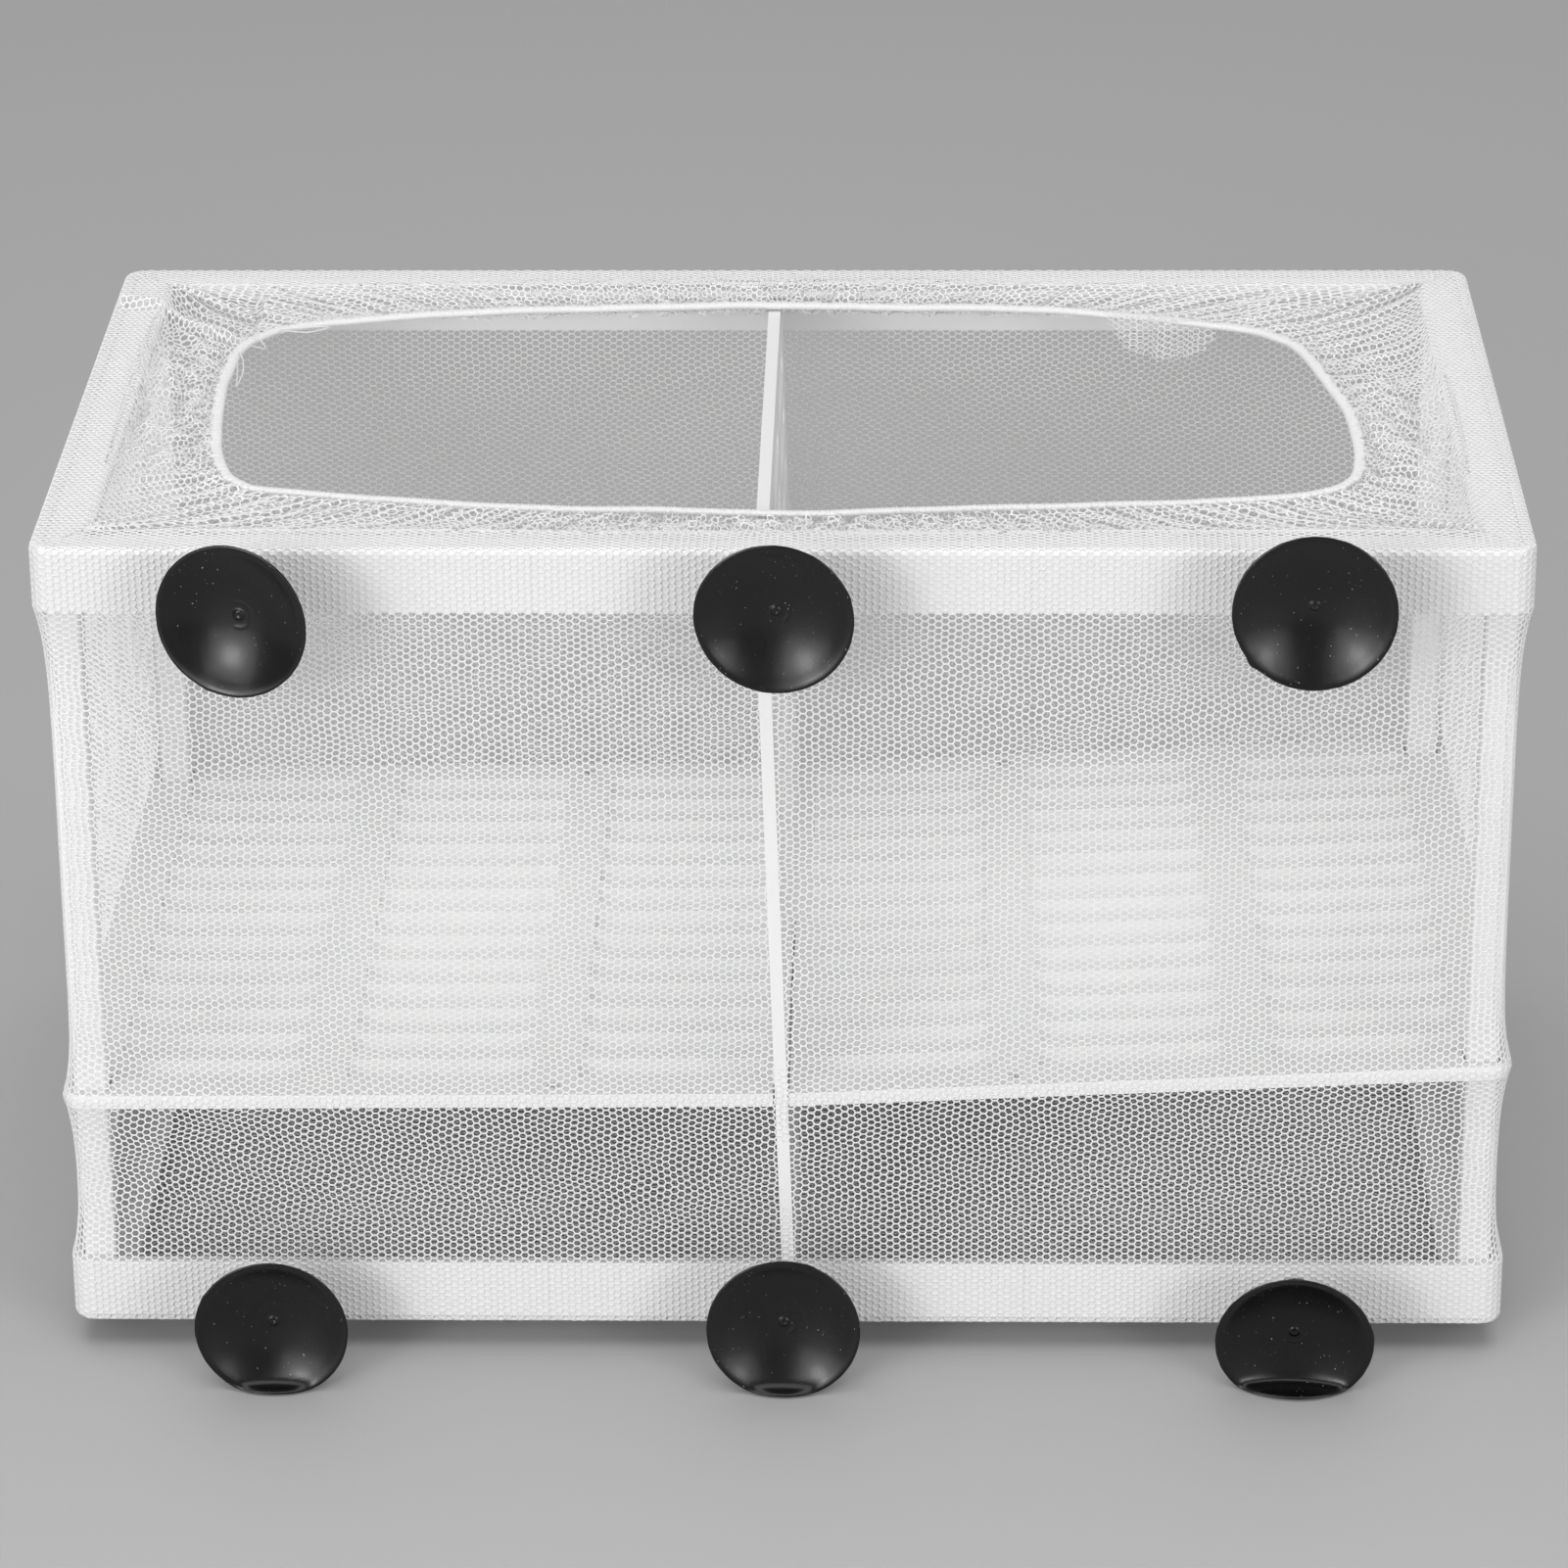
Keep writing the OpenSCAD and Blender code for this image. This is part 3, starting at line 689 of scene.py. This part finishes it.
def closed_tube(name, points):
    """A closed tube's object from its places, step by step along it and round it."""
    steps, sides = points.shape[:2]
    index = np.arange(steps * sides).reshape(steps, sides)
    ahead = np.roll(index, -1, 0)
    faces = np.stack([index, ahead, np.roll(ahead, -1, 1), np.roll(index, -1, 1)], -1).reshape(-1, 4)
    mesh = bpy.data.meshes.new(name)
    mesh.from_pydata((points.reshape(-1, 3) * MM).tolist(), [], faces.tolist())
    mesh.polygons.foreach_set("use_smooth", np.ones(len(faces), bool))
    piece = bpy.data.objects.new(name, mesh)
    bpy.context.scene.collection.objects.link(piece)
    return piece


seam = closed_tube("bottom_seam", np.stack(seam_points, 1))
seam.data.materials.append(net_white.material)
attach(seam, "frame")
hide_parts("net_floor")


# ---- Elastic hem -----------------------------------------------------------
# An elastic cord inside the folded edge of the top band. The fold is sewn into
# a casing about 2 mm wide, gathered and ribbed, that lies flat round the cord.
CORD_R, CASING_W, CASING_T, HEM_SIDES, HEM_COUNT = 0.75, 1.3, 0.6, 14, 3400
path = closed_curve(hem_points, HEM_COUNT)
turns = np.arange(HEM_COUNT) / HEM_COUNT * 2 * math.pi
draw = np.random.default_rng(31)


def wander(counts):
    """A sum of random waves, with these numbers of waves round the hem."""
    return sum(np.sin(n * turns + draw.uniform(0, 6.28)) * draw.uniform(0.3, 1) for n in counts) / 2


wobble = wander((19, 33, 47, 71))
lift = wander((5, 9, 13, 27))
ragged = wander((61, 97, 151, 233, 401))
ribs = np.sin(turns * 930 + 2.5 * wobble) + 0.6 * np.sin(turns * 613 + 3 * lift)
tangent = np.roll(path, -1, 0) - np.roll(path, 1, 0)
tangent /= np.linalg.norm(tangent, axis=1)[:, None]
outwards = np.stack([tangent[:, 1], -tangent[:, 0]], 1)
points = []
for k in range(HEM_SIDES):
    angle = 2 * math.pi * k / HEM_SIDES
    reach = CASING_W + 0.3 * ragged if math.cos(angle) > 0 else CORD_R + 0.1 * wobble
    out = reach * math.cos(angle)
    high = (CASING_T + 0.07 * ribs) * math.sin(angle) + 0.22 * np.maximum(out, 0)
    points.append(np.column_stack([path + outwards * out[:, None], HEM_Z + 0.25 * lift + high]))
hem = closed_tube("hem", np.stack(points, 1))
hem_white = Finish("hem_white", {"Roughness": 0.7, "Sheen Weight": 0.2})
rib_and_painted_groove_shade = hem_white.noise(1500, 2)
# The rib pattern also sets the colour, darker in its hollows: painted shade between the ribs.
hem_white.feed("Base Color", hem_white.blend(rib_and_painted_groove_shade, grey(0.72), grey(0.86)))
hem_white.bump(rib_and_painted_groove_shade, 0.0002, 0.8)
hem.data.materials.append(hem_white.material)
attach(hem, "frame")
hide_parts("elastic_hem")


# ---- Loose flap ------------------------------------------------------------
# A scrap of the casing's net that was left untrimmed. It is held by the hem's
# stitches and hangs down inside the back of the hand opening.
FLAP_LEFT, FLAP_RIGHT, FLAP_W, FLAP_H = 60.5, 83.5, 25.0, 10.2
FLAP_Y, FLAP_SLANT, FLAP_FILL = 53.4, 4.6, 0.66


def flap_place(s, t):
    """Place on the flap at s along the hem and t down from it, in millimetres."""
    share_x = s / FLAP_W
    x = FLAP_LEFT + (FLAP_RIGHT - FLAP_LEFT) * share_x
    hem_y = FLAP_Y - FLAP_SLANT * share_x
    drop = np.clip(t / FLAP_H, 0, 1)
    fold = np.sin(s / 1.25 + 0.12 * t) + 0.5 * np.sin(s / 0.8 + 2)
    y = hem_y - 1.2 - 1.6 * drop + 0.9 * fold * drop
    return np.stack([x + 0.5 * drop * np.cos(s / 1.25), y, HEM_Z + 1.1 - 0.86 * t], 1)


flap_net = knit(round(FLAP_W / COLUMN), int(FLAP_H / ROW), 0.3, COLUMN, flap_place, False)
flap_edge = FLAP_H * np.sin(math.pi * np.clip(flap_net["s"] / FLAP_W, 0, 1)) ** 0.7
flap = net_piece("net_flap", "net_top", flap_net, flap_net["t"] < flap_edge)


# ---- Loose threads ---------------------------------------------------------
# Loops of the hem's sewing thread, which have worked loose at its left end. Each
# is still held by the stitches at both ends.
LOOSE_THREAD_R = 0.13
loops = {
    "loose_thread_a": [
        (-104.6, 36.5, 151.9), (-106.0, 40.5, 152.9), (-103.5, 39.5, 153.1), (-100.8, 34.0, 152.2),
        (-101.8, 36.8, 150.8)],
    "loose_thread_b": [
        (-105.6, 30.5, 152.0), (-104.2, 25.5, 152.6), (-103.6, 19.5, 152.2), (-104.2, 13.5, 151.6),
        (-104.8, 20.0, 151.0)],
    "loose_thread_c": [
        (-98.5, 43.0, 152.4), (-93.0, 43.2, 152.8), (-89.5, 45.0, 152.2), (-93.5, 44.3, 151.4)],
}
for name, bends in loops.items():
    way = closed_curve(np.array(bends), 160)
    forward = np.roll(way, -1, 0) - np.roll(way, 1, 0)
    forward /= np.linalg.norm(forward, axis=1)[:, None]
    across = np.cross(forward, (0, 0, 1.0))
    across /= np.linalg.norm(across, axis=1)[:, None]
    over = np.cross(across, forward)
    sides = []
    for angle in np.arange(6) * math.pi / 3:
        sides.append(way + LOOSE_THREAD_R * (across * math.cos(angle) + over * math.sin(angle)))
    thread = closed_tube(name, np.stack(sides, 1))
    thread.data.materials.append(hem_white.material)
    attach(thread, "frame")
    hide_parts("elastic_hem")


# ---- Suction cups ----------------------------------------------------------
# Black rubber, moulded in one piece: a knob behind the ring's wall, a neck, a
# collar in front of the net, and a thin bell whose rim has bent with use.
FACE_Y, COLLAR_END = -74.7, 2.7  # the ring's outer face, and how far the collar stands in front of it
BELL_TURNS = 160
# Where each cup's neck stands, how its bell is turned and tipped, how far it has sagged, its size, and
# the angle and height of the tab that the mould left on its rim
cups = {
    "cup_top_left": (-CUP_X, HIGH_CUP_Z, -16, -2, (2.2, -2.0), 1.0, (250, 0.008)),
    "cup_top_centre": (0, HIGH_CUP_Z, -4, 2, (-0.1, -0.4), 1.0, (20, 0.01)),
    "cup_top_right": (CUP_X, HIGH_CUP_Z, -3, 0, (-0.7, 0.3), 1.025, (222, 0.03)),
    "cup_bottom_left": (-CUP_X, LOW_CUP_Z, 0, 0, (0.1, -0.1), 1.0, (150, 0.01)),
    "cup_bottom_centre": (0, LOW_CUP_Z, -1, -3, (0, -0.4), 1.0, (70, 0.01)),
    "cup_bottom_right": (CUP_X, LOW_CUP_Z, -3, 8, (-0.2, -0.4), 1.03, (10, 0.01)),
}
rubber = Finish("black_rubber", {"IOR": 1.45})
bloom = rubber.noise(120, 3)
smear = rubber.noise(700, 4, (1, 1, 0.3))
dust = rubber.noise(2300, 1) > 0.775
rubber.feed("Base Color", rubber.blend(dust, rubber.blend(bloom, grey(0.0015), grey(0.004)), grey(0.3)))
rubber.feed("Roughness", 0.19 + 0.1 * bloom + 0.05 * smear + 0.3 * dust)
rubber.bump(smear, 0.00003, 0.4)

# The section from the knob's back, along the outside to the rim, and back down the hollow
section = [
    (0, -4.7), (2.2, -4.7), (2.7, -4.3), (3.0, -3.3), (3.1, -2.6), (3.0, -2.35), (2.1, -2.3), (2.1, 0.85),
    (2.2, 0.9), (3.4, 0.9), (3.7, 1.1), (3.7, 2.5), (3.4, 2.7), (2.9, 2.8), (2.9, 8.0), (3.1, 8.6),
    (3.8, 9.0), (5.0, 9.4)]
RIM_Z, RIM_T, HOLLOW_DEPTH, HOLLOW_R, BACK_DEPTH, BACK_R = 15.4, 0.7, 4.0, 23.78, 6.4, 18.51


def on_arc(arc_r, start, degrees):
    """Place on one of the bell's round faces, which starts this far along the cup's axis."""
    angle = math.radians(degrees)
    return arc_r * math.sin(angle), start + arc_r * (1 - math.cos(angle))


for degrees in range(20, 49, 3):
    section.append(on_arc(BACK_R, RIM_Z - BACK_DEPTH, degrees))
rim_row = len(section)
section += [(13.9, 15.05), (14.0, 15.25), (13.9, 15.4), (13.6, 15.42), (13.3, 15.36)]
for degrees in [*range(32, 8, -2), 7.2, 6.7, 6.2, 5.7, 5.2, 4.6, 4.0]:
    section.append(on_arc(HOLLOW_R, RIM_Z - HOLLOW_DEPTH, degrees))
section += [
    (1.35, 11.45), (1.0, 11.48), (0.9, 11.55), (0.8, 11.66), (0.62, 11.7), (0.45, 11.66), (0.3, 11.58),
    (0, 11.56)]
section = np.array(section)
in_front = (RIM_T * np.clip((np.arange(len(section)) - rim_row) / 4, 0, 1))[:, None]
r, along = section[:, 0][:, None], section[:, 1][:, None]


def ripples(draw, around, counts, fall):
    """A sum of random waves round a bell, which get lower as they get shorter by this power."""
    return sum(draw.uniform(-1, 1) * np.cos(n * around + draw.uniform(0, 6.28)) / n**fall for n in counts)


def moulded_cup(number, size, tab, tab_h):
    """Places of a cup, round by round, about its own axis. Its bell is thin and a little uneven."""
    draw = np.random.default_rng(50 + number)
    around = np.arange(BELL_TURNS) / BELL_TURNS * 2 * math.pi
    flex = ripples(draw, around, (2, 3, 4, 5), 1)
    nick = ripples(draw, around, (9, 14, 23, 31), 0) / 4
    past_tab = np.mod(around - math.radians(tab) + math.pi, 2 * math.pi) - math.pi
    nick = 0.004 * nick + tab_h * np.exp(-((past_tab / 0.08) ** 2))
    loose = np.clip((r - 4) / 10, 0, 1) ** 2 * (along > 5)
    edge = np.clip((r - 12) / 2, 0, 1)
    radius = r * (1 + loose * (size - 1 + 0.007 * flex) + edge * nick)
    # A ring that the mould's pin left round the middle of the hollow, open on one side
    pin_ring = 0.07 * np.exp(-(((r - 2.35) / 0.25) ** 2)) * (in_front > 0)
    reach = along + loose * 0.25 * flex + pin_ring * np.clip(1.5 + 3 * np.cos(around - number), 0, 1)
    return np.stack([radius * np.cos(around), -reach, radius * np.sin(around)], -1)


def lean_bell(points, turn, tip, sag):
    """Turns and tips the bell on its neck, and lets it sag."""
    turned = Matrix.Rotation(math.radians(turn), 3, "Z") @ Matrix.Rotation(math.radians(tip), 3, "X")
    base = np.array([0, -COLLAR_END, 0])
    bell = along[:, 0] > COLLAR_END
    points[bell] = (points[bell] - base) @ np.array(turned).T + base
    points += np.clip((along - COLLAR_END) / 5, 0, 1)[:, :, None] * np.array([sag[0], 0, sag[1]])


# The box stands tilted on its lower cups and its back edge
GROUND_SLOPE, GROUND_EDGE, GIVE, OUTWARDS = 0.037, 77.0, 0.5, 1.1


def ground_z(y):
    """Height of the ground under the tilted box."""
    return (y - GROUND_EDGE) * GROUND_SLOPE


def press_on_ground(points):
    """Bends the lowest part of the rim outwards into a flat lip, where it meets the ground."""
    sunk = ground_z(points[:, :, 1]) + 0.05 + in_front - points[:, :, 2]
    pressed = GIVE * np.log1p(np.exp(sunk / GIVE))
    points[:, :, 2] += pressed
    points[:, :, 1] -= OUTWARDS * pressed


for number, (name, (x, z, turn, tip, sag, size, (tab, tab_h))) in enumerate(cups.items()):
    points = moulded_cup(number, size, tab, tab_h)
    lean_bell(points, turn, tip, sag)
    points += np.array([x, FACE_Y, z])
    press_on_ground(points)
    index = np.arange(len(section) * BELL_TURNS).reshape(len(section), BELL_TURNS)
    here, ahead = index[:-1], index[1:]
    faces = np.stack([here, ahead, np.roll(ahead, -1, 1), np.roll(here, -1, 1)], -1).reshape(-1, 4)
    mesh = bpy.data.meshes.new(name + "_rubber")
    mesh.from_pydata((points.reshape(-1, 3) * MM).tolist(), [], faces.tolist())
    mesh.validate()
    for polygon in mesh.polygons:
        polygon.use_smooth = True
    mesh.materials.append(rubber.material)
    cup = bpy.data.objects.new(name + "_rubber", mesh)
    bpy.context.scene.collection.objects.link(cup)
    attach(cup, name)
    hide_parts(name)


# ---- Floor and light -------------------------------------------------------
# A plain pale floor, which the box stands on by its lower cups and back edge.
# Two soft lamps stand low at the front corners, each brighter at its core. A
# wide one hangs overhead, and the surround is even.
FLOOR_REACH = 6.0
floor_corners = []
for x, y in ((-1, -1), (1, -1), (1, 1), (-1, 1)):
    floor_corners.append((x * FLOOR_REACH, y * FLOOR_REACH, ground_z(y * FLOOR_REACH / MM) * MM))
floor_mesh = bpy.data.meshes.new("floor")
floor_mesh.from_pydata(floor_corners, [], [(0, 1, 2, 3)])
floor = bpy.data.objects.new("floor", floor_mesh)
bpy.context.scene.collection.objects.link(floor)
floor_grey = Finish("floor_grey", {"Roughness": 0.6, "Base Color": grey(0.44)})
floor_mesh.materials.append(floor_grey.material)


LAMP_TARGET = (0, 0, 0.07)


def lamp(name, place, width, power):
    """A square lamp that faces the middle of the box."""
    data = bpy.data.lights.new(name, "AREA")
    data.size = width
    data.energy = power
    made = bpy.data.objects.new(name, data)
    made.location = place
    made.rotation_euler = (Vector(LAMP_TARGET) - Vector(place)).to_track_quat("-Z", "Y").to_euler()
    bpy.context.scene.collection.objects.link(made)


lamp("left_lamp", (-0.8, -1.2, 0.5), 1.0, 7.6)
lamp("left_lamp_core", (-0.79, -1.185, 0.495), 0.32, 3.1)
lamp("right_lamp", (0.9, -1.12, 0.5), 0.9, 4.5)
lamp("right_lamp_core", (0.89, -1.108, 0.495), 0.28, 1.9)
lamp("top_lamp", (0, -0.1, 1.8), 2.0, 21.6)

world = bpy.data.worlds.new("surround")
world.use_nodes = True
world.node_tree.nodes["Background"].inputs["Color"].default_value = grey(0.3)
bpy.context.scene.world = world
